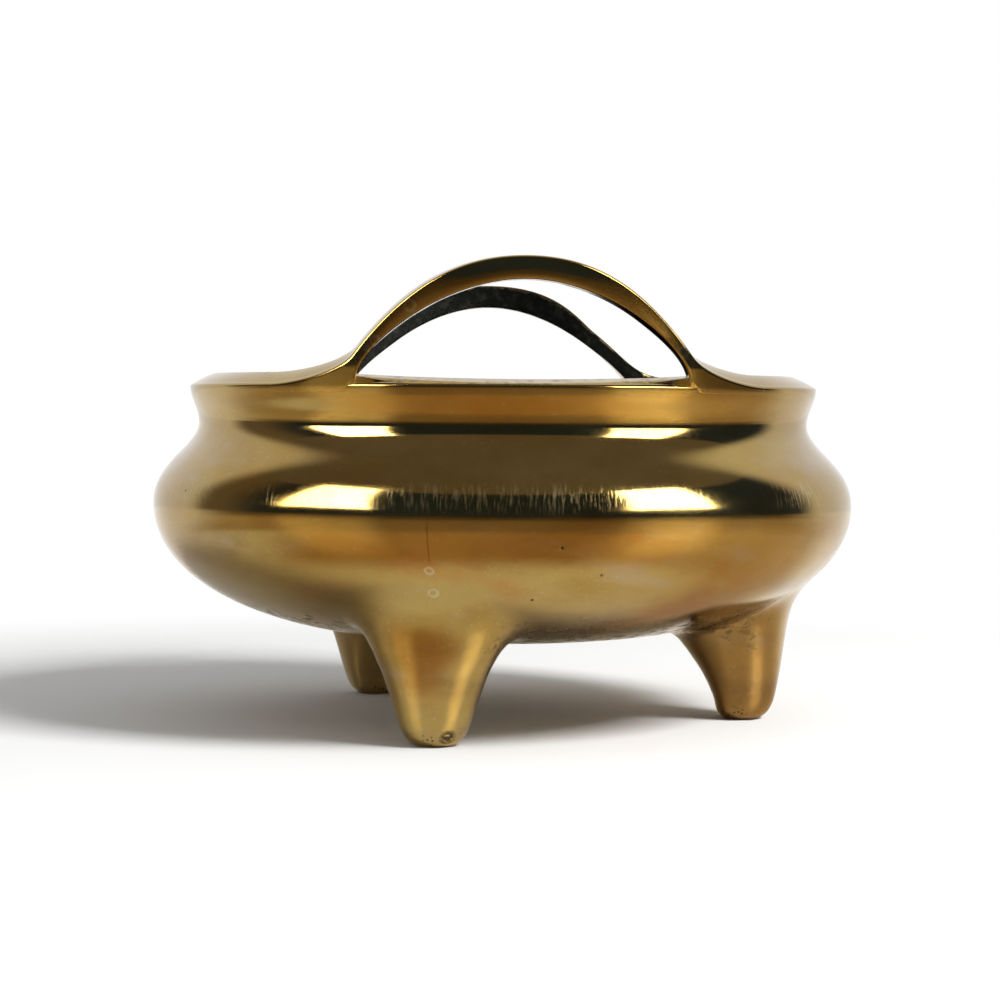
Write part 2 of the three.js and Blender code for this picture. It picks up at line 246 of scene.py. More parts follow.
def filmMaterial(values):  # in the metal the table looks browner than to the eye, with painted shade in front and far out and the soft boxes' sheen on it
    material, add = newMaterial("painted shade and sheen over the table")
    azimuth, away, turn = towards(add), fromCentre(add), cameraPlace["azimuth"]
    far, middle, side = (window(add, azimuth, start + turn, stop + turn, fade) for start, stop, fade in (
        values["filmFar"], values["filmMiddle"], values["filmSide"]))
    dimFrom, dimTo, dimmest = values["filmDim"]
    out, near, dim = (add("ShaderNodeMapRange", smoothly, Value=away, From_Min=low * mm, From_Max=high * mm,
                          To_Min=first, To_Max=last)
                      for low, high, first, last in ((*values["filmOut"], 0, 1), (*values["filmIn"], 0, 1),
                                                     (dimFrom, dimTo, 1, dimmest)))
    near = add("ShaderNodeMath", multiply, _0=middle, _1=near)
    inner, beside, outer, front = (
        add("ShaderNodeMix", inColour, _0=share, _6=white, _7=(*values[tint], 1)) for tint, share in (
            ("filmMiddleTint", near), ("filmSideTint", side), ("filmFarTint", far), ("filmFrontTint", far)))
    outer = add("ShaderNodeMix", inColour, _0=middle, _6=outer, _7=front)
    inner = add("ShaderNodeMix", inColour | {"blend_type": "MULTIPLY"}, _0=1.0, _6=inner, _7=beside)
    tint = add("ShaderNodeMix", inColour, _0=out, _6=inner, _7=outer)
    # painted shade: far out the table dims
    dim = add("ShaderNodeMix", _0=far, _2=1.0, _3=dim)
    tint = add("ShaderNodeMix", inColour, _0=dim, _6=black, _7=tint)
    sheen = add("ShaderNodeMix", inColour, _0=near, _6=(*values["filmSheen"], 1), _7=(*values["filmSheenFront"], 1))
    gloss = add("ShaderNodeBsdfGlossy", Roughness=values["filmRoughness"], Color=sheen)
    both = add("ShaderNodeAddShader", _0=add("ShaderNodeBsdfTransparent", Color=tint), _1=gloss)
    add("ShaderNodeOutputMaterial", Surface=both)
    return material


def makeRoom(values):
    radius, low, high = values["roomRadius"], values["roomBottom"], values["roomTop"]
    turn, fade, steps = cameraPlace["azimuth"], values["roomFade"], values["wallSteps"]
    start, stop = values["roomFrom"] + turn, values["roomTo"] + turn
    side = (values["sideFrom"] + turn, values["sideTo"] + turn)
    wall = wallMaterial("black room", values["roomGlow"], values["sideGlow"], side, start, stop, fade)
    ceiling = wallMaterial("dim ceiling", values["ceilingGlow"], values["ceilingGlow"], side, start, stop, fade)
    arcWall("room_wall", (radius, radius), (low, high), start - fade, stop + fade, wall, steps)
    arcWall("room_ceiling", (radius, radius * 0.8, 1), (high, *(high + step for step in values["ceilingSteps"])),
            start - fade, stop + fade, ceiling, steps)
    arcWall("table_film", (values["filmNear"], values["tableRadius"]), (values["filmHeight"],) * 2, -180, 180,
            filmMaterial(values), steps)


def boxPoint(azimuth, rise):
    flat = boxDistance * mm * cos(radians(rise))
    height = boxDistance * mm * sin(radians(rise))
    return turnedAbout(azimuth + cameraPlace["azimuth"], 0, -flat, boxMiddle * mm + height)


def makeSoftBox(name, box):
    vertices, faces = [], []
    for i in range(boxSteps + 1):
        up = i / boxSteps
        rise = box["rise"][0] + (box["rise"][1] - box["rise"][0]) * up
        for low, high in zip(box["low"], box["high"]):
            vertices.append(boxPoint(low + (high - low) * up, rise))
        if i:
            faces.append((2 * i - 2, 2 * i - 1, 2 * i + 1, 2 * i))
    cloth = glowMaterial("soft box cloth " + name, boxCloth, boxShine)
    onlyInReflections(meshObject("softbox_" + name, vertices, faces, cloth))


def makeLamp(name, values):
    low, high = values["rise"]
    middle = boxPoint(values["azimuth"], (low + high) / 2)
    out = (middle - Vector((0, 0, boxMiddle * mm))).normalized()
    lamp = bpy.data.lights.new(name, "AREA")
    lamp.shape, lamp.energy = "RECTANGLE", values["power"]
    lamp.size = 2 * boxDistance * mm * tan(radians(values["wide"] / 2))
    lamp.size_y = 2 * boxDistance * mm * tan(radians((high - low) / 2))
    thing = newObject(name, lamp)
    thing.matrix_world = Matrix.Translation(middle) @ out.to_track_quat("Z", "Y").to_matrix().to_4x4()
    thing.visible_camera = thing.visible_glossy = False


bpy.context.scene.view_settings.view_transform = "Standard"
makeSurround(studio)
makeTable(studio)
makeRoom(studio)
for name, box in softBoxes.items():
    makeSoftBox(name, box)
makeLamp("key_lamp", keyLamp)
print("studio built")


# materials

brassLook = {
    "polished": "#A98F50", "warm": "#9D7F3F", "brown": "#71552A", "copper": "#A1692F", "stain": "#A7947B",
    "scale": "#C3BD9F", "pit": "#2A2114", "soot": "#161713", "ash": "#34342E", "edgeTint": (0.95, 0.94, 0.92, 1),
    # patches below the belt: size in mm, stretch, where the noise starts and ends, its shift and detail, share
    "patches": {"brown": (26, (1.2, 1.2, 0.5), 0.46, 0.74, 31.0, 4.0, 0.6),
                "copper": (22, (1.1, 1.1, 0.7), 0.52, 0.70, 77.0, 4.0, 0.55),
                "stain": (19, (1.3, 1.3, 0.45), 0.54, 0.72, 52.0, 6.0, 0.45)},
    # the front's azimuths, then how much stain and painted pale reflection lie on the sides and in front
    "lowFade": (50.0, 40.0, 0.3), "shoulder": (54, 64, 3), "front": (-56, 48, 13), "stainAndPaleSides": (0.75, 0.12),
    "laid": {"sides": 0.3, "dust": 0.2, "rings": 0.4, "drip": 0.5, "pits": 0.8, "worn": 0.8, "rubbed": 0.4, "ash": 0.8},
    # roughness of the polish and what scuffs, streaks, the lower belly, pits and patina add to it
    "roughness": 0.08, "scuffed": 0.05, "rubbedRough": 0.14, "lowRough": 0.06, "pitRough": 0.35, "agedRough": 0.45,
    "rubbedMetal": -0.16, "agedMetal": -0.2,
    # depth of the relief in mm
    "swell": 0.012, "line": 0.0009, "rubbedDepth": 0.007, "pitDepth": 0.05, "grain": 0.03,
    # water marks, as centre and radius in mm, and dark casting flaws; the drip runs down from the belly
    "rings": ((-19.2, -71.8, 37.3, 0.8), (-18.2, -67.7, 32.6, 1.0), (-23.2, -66.0, 89.8, 1.1),
              (-31.5, -62.5, 81.3, 0.55), (-30.1, -63.2, 82.9, 0.9), (32.0, -62.2, 81.0, 1.1)),
    "flaws": ((47.5, -6.0, 6.3, 0.8), (-14.8, -56.8, 2.4, 2.2), (-18.2, -56.0, 3.2, 0.6), (15.1, -72.3, 36.6, 0.5),
              (1.5, -68.4, 31.3, 0.45), (6.7, -76.6, 42.2, 0.5)),
    "drip": (-14.85, -14.6, 39, 47), "ringBlur": 0.9,
    # the belt that rubs: heights, azimuths where it always shows and how much, size and slant of the streaks
    "belt": (49.6, 54.0, 1.6), "beltFront": (-21, 23, 5), "beltShare": 0.6, "streak": 0.5, "slant": 0.17,
    "filedHeights": (27.0, 13.0), "filedCopper": 0.35,
}


def mottle(add, place, size, stretch, start, stop, shift=0.0, detail=4.0):
    # soft patches about that many millimetres across, stretched along x, y and z
    spread = add("ShaderNodeMapping", Vector=place, Location=(shift, shift * 0.7, shift * 1.3),
                 Scale=tuple(1 / (size * s) for s in stretch))
    noise = add("ShaderNodeTexNoise", Vector=spread, Scale=1.0, Detail=detail, Roughness=0.55)
    return add("ShaderNodeMapRange", smoothly, Value=noise, From_Min=start, From_Max=stop)


def roundMark(add, distance, radius, edge, inside):  # a filled disc, or a ring with an edge that wide
    if edge:
        off = add("ShaderNodeMath", minus, _0=distance, _1=radius)
        distance = add("ShaderNodeMath", {"operation": "ABSOLUTE"}, _0=off)
    size = edge or radius
    return add("ShaderNodeMapRange", smoothly, Value=distance, From_Min=size * inside, From_Max=size,
               To_Min=1.0, To_Max=0.0)


def specks(add, place, cell, radius, chance, edge=0.0):  # small round marks in one cell out of some
    scaled = add("ShaderNodeVectorMath", scaling, _0=place, Scale=1 / cell)
    cells = add("ShaderNodeTexVoronoi", Vector=scaled, Scale=1.0, Randomness=1.0).outputs
    some = add("ShaderNodeMath", lessThan, _1=chance,
               _0=add("ShaderNodeSeparateColor", Color=cells["Color"]))
    dot = roundMark(add, cells["Distance"], radius / cell, edge / cell, 0.45)
    return add("ShaderNodeMath", multiply, _0=dot, _1=some)


def marked(add, place, marks, edge):  # round marks at given places
    total = None
    for x, y, z, radius in marks:
        away = add("ShaderNodeVectorMath", {"operation": "DISTANCE"}, _0=place, _1=(x, y, z))
        share = roundMark(add, away, radius, edge, 0.4 if edge else 0.5)
        total = add("ShaderNodeMath", larger, _0=total, _1=share) if total else share
    return total


def castBrass(name, look, satin=0.0, tipWear=0.0):
    # cast brass, wheel polished outside: mirror clear on the turned faces, warm mottling and small pits;
    # dark patina with ash in the corners that the wheel does not reach, by the pieces' own "age"
    material, add = newMaterial(name)
    place = add("ShaderNodeVectorMath", scaling, _0=add("ShaderNodeTexCoord").outputs["Object"],
                Scale=1000.0)
    height = add("ShaderNodeSeparateXYZ", Vector=place).outputs["Z"]
    fadeFrom, fadeTo, least = look["lowFade"]
    low = add("ShaderNodeMapRange", smoothly, Value=height, From_Min=fadeFrom, From_Max=fadeTo,
              To_Min=least, To_Max=1.0)
    age = add("ShaderNodeAttribute", {"attribute_name": "age"}).outputs["Fac"]
    laid, patches = look["laid"], partial(mottle, add, place)

    base = add("ShaderNodeMix", inColour, _0=patches(34, (1, 1, 0.45), 0.36, 0.62),
               _6=colour(look["polished"]), _7=colour(look["warm"]))

    def over(tone, mask, share):  # lays a colour over what is there
        part = add("ShaderNodeMath", multiply, _0=mask, _1=share)
        return add("ShaderNodeMix", inColour, _0=part, _6=base, _7=colour(look[tone]))

    for tone, (size, stretch, start, stop, shift, detail, share) in look["patches"].items():
        patch = add("ShaderNodeMath", multiply, _0=patches(size, stretch, start, stop, shift, detail), _1=low)
        base = over(tone, patch, share * (look["filedCopper"] if satin and tone == "copper" else 1))
    front = window(add, towards(add), *look["front"])  # the front, where the painted pale reflection of the sides fades out
    beside = add("ShaderNodeMapRange", Value=front, To_Min=look["stainAndPaleSides"][0], To_Max=look["stainAndPaleSides"][1])
    stains = add("ShaderNodeMath", multiply, _0=patches(14, (1, 1, 0.5), 0.42, 0.70, 13.0, 5.0),
                 _1=window(add, height, *look["shoulder"]))
    base = over("stain", stains, beside)
    # painted reflection: the sides take a pale stain tone that stands in for the pale surround mirrored there
    base = over("stain", beside, laid["sides"])
    base = over("scale", patches(0.8, (1, 1, 1), 0.58, 0.74, 91.0, 3.0), laid["dust"])

    wobble = add("ShaderNodeTexNoise", Vector=place, Scale=0.8, Detail=3.0).outputs["Color"]
    blurred = add("ShaderNodeVectorMath", multiplyAdd, _0=wobble, _1=(look["ringBlur"],) * 3, _2=place)
    blurred = add("ShaderNodeVectorMath", minus, _0=blurred, _1=(look["ringBlur"] / 2,) * 3)
    rings = add("ShaderNodeMath", larger, _0=specks(add, blurred, 11.0, 1.0, 0.06, 0.28),
                _1=marked(add, blurred, look["rings"], 0.4))
    base = over("scale", rings, laid["rings"])
    start, stop, bottom, top = look["drip"]
    drip = add("ShaderNodeMath", multiply, _0=window(add, towards(add), start, stop, 0.1),
               _1=window(add, height, bottom, top, 1))
    base = over("brown", drip, laid["drip"])
    flaws = add("ShaderNodeMath", multiply, _0=marked(add, place, look["flaws"], 0.0),
                _1=patches(0.9, (1, 1, 1), 0.3, 0.5, 29.0))
    pits = add("ShaderNodeMath", larger, _0=specks(add, place, 7.0, 0.34, 0.16), _1=flaws)
    base = over("pit", pits, laid["pits"])

    ragged = patches(2.2, (1, 1, 1), 0.25, 0.75, 5.0, 6.0)
    aged = add("ShaderNodeMath", multiplyAdd, _0=age, _1=1.9, _2=-0.95)
    aged = add("ShaderNodeMath", {"operation": "ADD", "use_clamp": True}, _0=aged, _1=ragged)
    some = add("ShaderNodeMath", {"operation": "GREATER_THAN"}, _0=age, _1=0.02)
    aged = add("ShaderNodeMath", multiply, _0=aged, _1=some)
    ashes = patches(2.0, (1, 1, 1), 0.46, 0.74, 45.0, 8.0)
    ashes = add("ShaderNodeMath", multiply, _0=ashes, _1=laid["ash"])
    soot = add("ShaderNodeMix", inColour, _0=ashes, _6=colour(look["soot"]), _7=colour(look["ash"]))
    base = add("ShaderNodeMix", inColour, _0=aged, _6=base, _7=soot)
    if tipWear:
        worn = add("ShaderNodeMath", multiply, _0=specks(add, place, 1.0, 0.4, 0.5),
                   _1=window(add, height, -3.0, tipWear, 1.6))
        worn = add("ShaderNodeMath", multiply, _0=worn, _1=patches(4.5, (1, 1, 0.6), 0.34, 0.46, 9.0))
        base = over("pit", worn, laid["worn"])

    # rubbed belt round the belly: upright streaks, finer on the real one and drawn half a millimetre wide to show
    flat = add("ShaderNodeVectorMath", multiply, _0=place, _1=(1, 1, 0))
    wide = add("ShaderNodeVectorMath", scaling, Scale=78.0,
               _0=add("ShaderNodeVectorMath", {"operation": "NORMALIZE"}, _0=flat))
    slow = add("ShaderNodeVectorMath", multiply, _0=place, _1=(0, 0, look["slant"]))
    upright = add("ShaderNodeVectorMath", plus, _0=wide, _1=slow)
    streaks = mottle(add, upright, look["streak"], (1, 1, 1), 0.48, 0.66, 3.0, 2.0)
    always = add("ShaderNodeMath", multiply, _0=window(add, towards(add), *look["beltFront"]), _1=look["beltShare"])
    patch = add("ShaderNodeMath", larger, _0=patches(24, (1, 1, 3), 0.46, 0.62, 61.0), _1=always)
    belt = add("ShaderNodeMath", multiply, _0=window(add, height, *look["belt"]), _1=patch)
    outside = add("ShaderNodeMath", lessThan, _0=age, _1=0.5)
    belt = add("ShaderNodeMath", multiply, _0=belt, _1=outside)
    rubbed = add("ShaderNodeMath", multiply, _0=streaks, _1=belt)
    base = over("scale", rubbed, laid["rubbed"])

    scuffs = patches(9, (1.6, 1.6, 0.4), 0.40, 0.70, 21.0, 6.0)
    rough = add("ShaderNodeMath", multiplyAdd, _0=scuffs, _1=look["scuffed"], _2=look["roughness"])
    if satin:  # the file marks end where the foot meets the belly
        filed = add("ShaderNodeMapRange", smoothly, Value=height, From_Min=look["filedHeights"][0],
                    From_Max=look["filedHeights"][1], To_Max=satin)
        rough = add("ShaderNodeMath", plus, _0=rough, _1=filed)
    for mask, more in ((rubbed, "rubbedRough"), (low, "lowRough"), (pits, "pitRough"), (aged, "agedRough")):
        rough = add("ShaderNodeMath", multiplyAdd, _0=mask, _1=look[more], _2=rough)
    metallic = 1.0
    for mask, less in ((aged, "agedMetal"), (rubbed, "rubbedMetal")):
        metallic = add("ShaderNodeMath", multiplyAdd, _0=mask, _1=look[less], _2=metallic)

    # relief: slow swell left by hand polishing, fine turning lines or file marks, streaks, pits, grainy patina
    swell = patches(15, (1, 1, 1), 0.2, 0.8, 8.0, 1.0)
    lines = patches(1.0, (0.7, 0.7, 30) if satin else (30, 30, 0.8), 0.2, 0.8, 2.0, 2.0)
    grain = add("ShaderNodeMath", multiply, _0=patches(0.9, (1, 1, 1), 0.2, 0.8, 17.0, 6.0), _1=aged)
    relief = None
    for shape, depth, sunk in ((swell, "swell", False), (lines, "line", False), (rubbed, "rubbedDepth", False),
                               (pits, "pitDepth", True), (grain, "grain", False)):
        relief = add("ShaderNodeBump", {"invert": sunk}, Strength=1.0, Distance=look[depth] * mm, Height=shape,
                     Normal=relief)
    metal = add("ShaderNodeBsdfPrincipled", Specular_Tint=look["edgeTint"], Base_Color=base, Roughness=rough,
                Metallic=metallic, Normal=relief)
    add("ShaderNodeOutputMaterial", Surface=metal)
    return material


polishedBrass = castBrass("brass, cast and wheel polished", brassLook)
# the feet are finished with files: a softer shine, file marks round them and a tip with small pits
filedBrass = castBrass("brass, cast and file finished", brassLook, satin=0.06, tipWear=3.0)
print("materials made")


# shapes shared by the pieces

def bezier(points, steps):
    p = [np.array(q, float) for q in points]
    t = np.linspace(0, 1, steps + 1)[:, None]
    return (1 - t) ** 3 * p[0] + 3 * (1 - t) ** 2 * t * p[1] + 3 * (1 - t) * t ** 2 * p[2] + t ** 3 * p[3]


def smoothStep(x, low, high):
    t = np.clip((np.asarray(x, float) - low) / (high - low), 0, 1)
    return t * t * (3 - 2 * t)


def joined(*runs):
    out = [runs[0]]
    for run in runs[1:]:
        out.append(run[1:] if np.allclose(run[0], out[-1][-1]) else run)
    return np.vstack(out)


bowl = {
    "base": (15.9, 18.3), "belly": (77.99, 48.2), "neck": (68.0, 66.0),  # radius and height
    "lipRadius": 70.0, "lipHeight": 74.2,
    # reach of each curve's handles, as shares of the run or rise of that stretch
    "lowerRun": 0.58, "lowerDrop": 0.60, "upperRise": 0.51, "upperRun": 0.31, "lipCurve": (0.39, 0.37),
    "bottomWall": 6.0, "bellyWall": 4.0, "neckWall": 4.6,
    "lipWidth": 5.6, "landRise": 2.5, "arrisDrop": 0.5, "arrisWidth": 0.7, "innerArris": 0.5, "flare": 0.09,
    "sillRise": 0.15, "sillCurl": 0.95, "sillSlope": 0.95,
    "around": 288,
    # patina, 0 to 1: on the land's inner half and on the sills; and the soot colour under the belly, darker towards the
    # middle, by the radii where it sets in
    "landAge": 0.24, "sillAge": 0.24, "underAge": ((0.27, 68, 54), (0.18, 36, 14)),
}


def bellySide(values, base, belly, neck, lowerSteps, upperSteps):
    run, rise, drop = belly[0] - base[0], neck[1] - belly[1], belly[1] - base[1]
    lower = bezier([base, (base[0] + values["lowerRun"] * run, base[1]),
                    (belly[0], belly[1] - values["lowerDrop"] * drop), belly], lowerSteps)
    upper = bezier([belly, (belly[0], belly[1] + values["upperRise"] * rise),
                    (neck[0], neck[1] - values["upperRun"] * rise), neck], upperSteps)
    return lower, upper


def lipEdge(values, radius, height, landRise, steps=(12, 12, 6)):
    # arris, crowned land and inner arris, as (radius, height) from the outside inwards
    width, drop, arris = values["lipWidth"], values["arrisDrop"], values["arrisWidth"]
    slope = landRise / width
    outer = bezier([(radius, height - drop), (radius + 0.02, height - 0.35 * drop),
                    (radius - 0.35 * arris, height + 0.25 * slope * arris),
                    (radius - arris, height + 0.62 * slope * arris + 0.06)], steps[0])
    start = outer[-1]
    end = np.array((radius - width + 0.35, height + landRise))
    span = start[0] - end[0]
    land = bezier([start, (start[0] - span / 3, start[1] + (end[1] - start[1]) * 0.42),
                   (end[0] + span / 3, end[1] - (end[1] - start[1]) * 0.24), end], steps[1])
    inner = bezier([end, (end[0] - 0.22, end[1] + 0.03), (radius - width, end[1] - 0.08),
                    (radius - width, end[1] - values["innerArris"])], steps[2])
    return joined(outer, land, inner)


def lipSide(values):  # outside of the lip, from the neck up to its arris
    neck = values["neck"]
    top = (values["lipRadius"], values["lipHeight"] - values["arrisDrop"])
    rise = top[1] - neck[1]
    start, end = (share * rise for share in values["lipCurve"])
    return bezier([neck, (neck[0], neck[1] + start), (top[0] - values["flare"] * end, top[1] - end), top], 14)


def bowlProfile(values):
    base, belly, neck = values["base"], values["belly"], values["neck"]
    lower, upper = bellySide(values, base, belly, neck, 52, 40)
    edge = lipEdge(values, values["lipRadius"], values["lipHeight"], values["landRise"])
    innerBase = (base[0], base[1] + values["bottomWall"])
    innerBelly = (belly[0] - values["bellyWall"], belly[1])
    innerNeck = (neck[0] - values["neckWall"], neck[1])
    innerLower, innerUpper = bellySide(values, innerBase, innerBelly, innerNeck, 36, 28)
    outside = joined(np.array([(0, base[1]), (base[0] * 0.5, base[1]), base]), lower, upper, lipSide(values), edge)
    inside = joined(np.array([edge[-1], 0.5 * (edge[-1] + np.array(innerNeck)), innerNeck]),
                    innerUpper[::-1], innerLower[::-1],
                    np.array([innerBase, (innerBase[0] * 0.5, innerBase[1]), (0, innerBase[1])]))
    return joined(outside, inside), (len(outside) - len(edge), len(outside) - 1)  # and the lip's first and last row


def turningTree():
    tree = bpy.data.node_groups.new("turn a profile", "GeometryNodeTree")
    for name, kind in (("Profile", "Geometry"), ("Points In Profile", "Int"), ("Steps Around", "Int"),
                       ("Weld Distance", "Float"), ("Material", "Material")):
        tree.interface.new_socket(name, in_out="INPUT", socket_type="NodeSocket" + kind)
    tree.interface.new_socket("Turned", in_out="OUTPUT", socket_type="NodeSocketGeometry")
    add = partial(addNode, tree)
    profile, rows, steps, weld, material = add("NodeGroupInput").outputs[:5]
    oneMore = add("ShaderNodeMath", plus, _0=steps, _1=1.0)
    grid = add("GeometryNodeMeshGrid", Vertices_X=oneMore, Vertices_Y=rows)
    index = add("GeometryNodeInputIndex")
    row = add("ShaderNodeMath", {"operation": "MODULO"}, _0=index, _1=rows)
    share = add("ShaderNodeMath", divide, _0=index, _1=rows)
    column = add("ShaderNodeMath", {"operation": "FLOOR"}, _0=share)
    turn = add("ShaderNodeMath", divide, _0=column, _1=steps)
    angle = add("ShaderNodeMath", multiply, _0=turn, _1=2 * pi)
    point = add("GeometryNodeSampleIndex", {"data_type": "FLOAT_VECTOR"}, Geometry=profile,
                Value=add("GeometryNodeInputPosition"), Index=row)
    turned = add("ShaderNodeVectorRotate", {"rotation_type": "Z_AXIS"}, Vector=point, Angle=angle)
    placed = add("GeometryNodeSetPosition", Geometry=grid, Position=turned)
    rowed = add("GeometryNodeStoreNamedAttribute", {"data_type": "INT", "domain": "POINT"}, Name="row",
                Geometry=placed, Value=row)
    welded = add("GeometryNodeMergeByDistance", Geometry=rowed, Distance=weld)
    smooth = add("GeometryNodeSetShadeSmooth", Geometry=welded)
    real = add("GeometryNodeRealizeInstances", Geometry=smooth)
    add("NodeGroupOutput", Turned=add("GeometryNodeSetMaterial", Geometry=real, Material=material))
    return tree


def grown(thing, tree, inputs):  # sets the tree's inputs by socket identifier and returns the plain mesh
    modifier = thing.modifiers.new("grown", "NODES")
    modifier.node_group = tree
    sockets = {s.name: s.identifier for s in tree.interface.items_tree if s.in_out == "INPUT"}
    for name, value in inputs.items():
        modifier[sockets[name]] = value
    bpy.context.view_layer.update()
    graph = bpy.context.evaluated_depsgraph_get()
    mesh = bpy.data.meshes.new_from_object(thing.evaluated_get(graph))
    thing.modifiers.remove(modifier)
    return mesh


def outwards(thing):
    work = bmesh.new()
    work.from_mesh(thing.data)
    bmesh.ops.recalc_face_normals(work, faces=work.faces)
    work.to_mesh(thing.data)
    work.free()
    thing.data.update()


def markAge(mesh, values):  # 0 is polished brass, 1 is full patina
    mesh.attributes.new("age", "FLOAT", "POINT").data.foreach_set("value", np.asarray(values, np.float32))


def points(mesh):
    flat = np.zeros(len(mesh.vertices) * 3, np.float32)
    mesh.vertices.foreach_get("co", flat)
    return flat.reshape(-1, 3).astype(float) / mm


def movePoints(mesh, where):
    mesh.vertices.foreach_set("co", (where * mm).astype(np.float32).ravel())
    mesh.update()


# handles: reach is measured round the lip's edge from the handle's middle, height from the ground

handles = {
    "front_handle": {
        "azimuth": 0.0, "crownRise": 25.55, "crownRun": 13.4, "legReach": 35.9, "legRise": 6.1,
        "legAngle": 48.4, "legRun": 18.4, "flareRun": 5.3, "toeReach": 58.0, "toeRun": 7.3,
        "archRise": 20.9, "archRun": 17.0, "cornerReach": 35.2, "cornerAngle": 85.0, "cornerRun": 6.0,
    },
    "rear_handle": {
        "azimuth": 179.4, "crownRise": 25.4, "crownRun": 17.0, "legReach": 27.0, "legRise": 13.0,
        "legAngle": 39.0, "legRun": 5.0, "flareRun": 16.5, "toeReach": 58.0, "toeRun": 20.0,
        "archRise": 20.3, "archRun": 18.0, "cornerReach": 35.6, "cornerAngle": 64.0, "cornerRun": 3.0,
    },
}
handleShape = {
    "cornerRise": 1.1, "rootReach": 43.0, "buried": 3.2, "proud": 0.015, "rungs": 84,
    # faces that cross the handle turn with the lip at 0 and stay parallel at 1: the most is near the corners
    "legDraft": 0.75, "cornerDraft": 1.2, "draftReach": 24.0,
    # lean of the outer face and how that turns with height, at the crown and, past these reaches, in the legs
    "crownTilt": 0.12, "lean": 0.176, "leanTurn": 0.125, "legLean": 0.15, "legTurn": 0.045, "legSpan": (7, 20),
    # reaches at which the bridge's face begins and is whole, then those at which the lip's is clear of the bowl
    "bridgeSpan": (37, 29), "cornerSpan": (38.5, 35.8), "runOut": 4.0,
    # patina, 0 to 1: inner face, inner edge below, and the underside from the inside out
    "innerAge": 1.0, "edgeAge": 0.8, "underAge": (0.26, 0.04), "outerAge": 0.05,
}


def draftAt(handle, reach):
    away = np.abs(reach)
    corner, root = handle["cornerReach"], handleShape["rootReach"]
    bump = smoothStep(away, handleShape["draftReach"], corner) - smoothStep(away, corner, root)
    return handleShape["legDraft"] + (handleShape["cornerDraft"] - handleShape["legDraft"]) * bump


def onHandle(handle, reach, depth, height, draft):
    turn = reach / (bowl["lipRadius"] - draft * depth) + radians(handle["azimuth"])
    radius = bowl["lipRadius"] - depth
    return np.stack([radius * np.sin(turn), -radius * np.cos(turn), height], -1)


def downwards(degrees):
    return np.array((cos(radians(degrees)), -sin(radians(degrees))))


def handleTop(handle):
    lip = bowl["lipHeight"]
    crown, leg = np.array((0, lip + handle["crownRise"])), np.array((handle["legReach"], lip + handle["legRise"]))
    toe, down = np.array((handle["toeReach"], lip)), downwards(handle["legAngle"])
    first = bezier([crown, (handle["crownRun"], crown[1]), leg - down * handle["legRun"], leg], 300)
    second = bezier([leg, leg + down * handle["flareRun"], (toe[0] - handle["toeRun"], toe[1]), toe], 300)
    return joined(first, second)


def handleArch(handle):
    lip = bowl["lipHeight"]
    crown = np.array((0, lip + handle["archRise"]))
    corner = np.array((handle["cornerReach"], lip + handleShape["cornerRise"]))
    down = downwards(handle["cornerAngle"])
    return bezier([crown, (handle["archRun"], crown[1]), corner - down * handle["cornerRun"], corner], 400)


def alongPath(path, share):  # point of a path at a share of its length
    lengths = np.concatenate([[0], np.cumsum(np.linalg.norm(np.diff(path, axis=0), axis=1))])
    at = np.asarray(share) * lengths[-1]
    return np.stack([np.interp(at, lengths, path[:, 0]), np.interp(at, lengths, path[:, 1])], -1)


def tiltAt(handle, reach):
    grown = smoothStep(abs(reach), 0, handle["toeReach"])
    return bowl["landRise"] * (handleShape["crownTilt"] + (1 - handleShape["crownTilt"]) * grown)


def faceDepth(height, reach, full, share, free):
    # how far the outer face stands in from the lip's radius: leaning at the bridge, flush with the lip at the root
    away, shape = abs(reach), handleShape
    aside = smoothStep(away, *shape["legSpan"])
    lean = shape["lean"] + (shape["legLean"] - shape["lean"]) * aside
    turn = shape["leanTurn"] + (shape["legTurn"] - shape["leanTurn"]) * aside
    bridge = full * (0.7 * lean - 0.49 * turn - lean * share + turn * share * share)  # 0 at 0.7 of the height
    side = lipSide(bowl)
    lipTop = side[-1, 1]
    below = bowl["lipRadius"] - np.interp(height, side[:, 1], side[:, 0])
    above = bowl["flare"] * (np.clip(height - lipTop, 0, shape["runOut"])
                             + 0.45 * np.maximum(height - lipTop - shape["runOut"], 0))
    near = smoothStep(away, *shape["cornerSpan"])
    dive = lipTop - 1.0 + 1.4 * near  # below this the face goes half a millimetre into the bowl
    sunk = 0.5 * smoothStep(height, dive, dive - 1.2 + 0.6 * near)
    root = below - above - shape["proud"] + sunk
    bridged = smoothStep(away, *shape["bridgeSpan"]) if free > 0 else 0
    return root + (bridge - root) * bridged


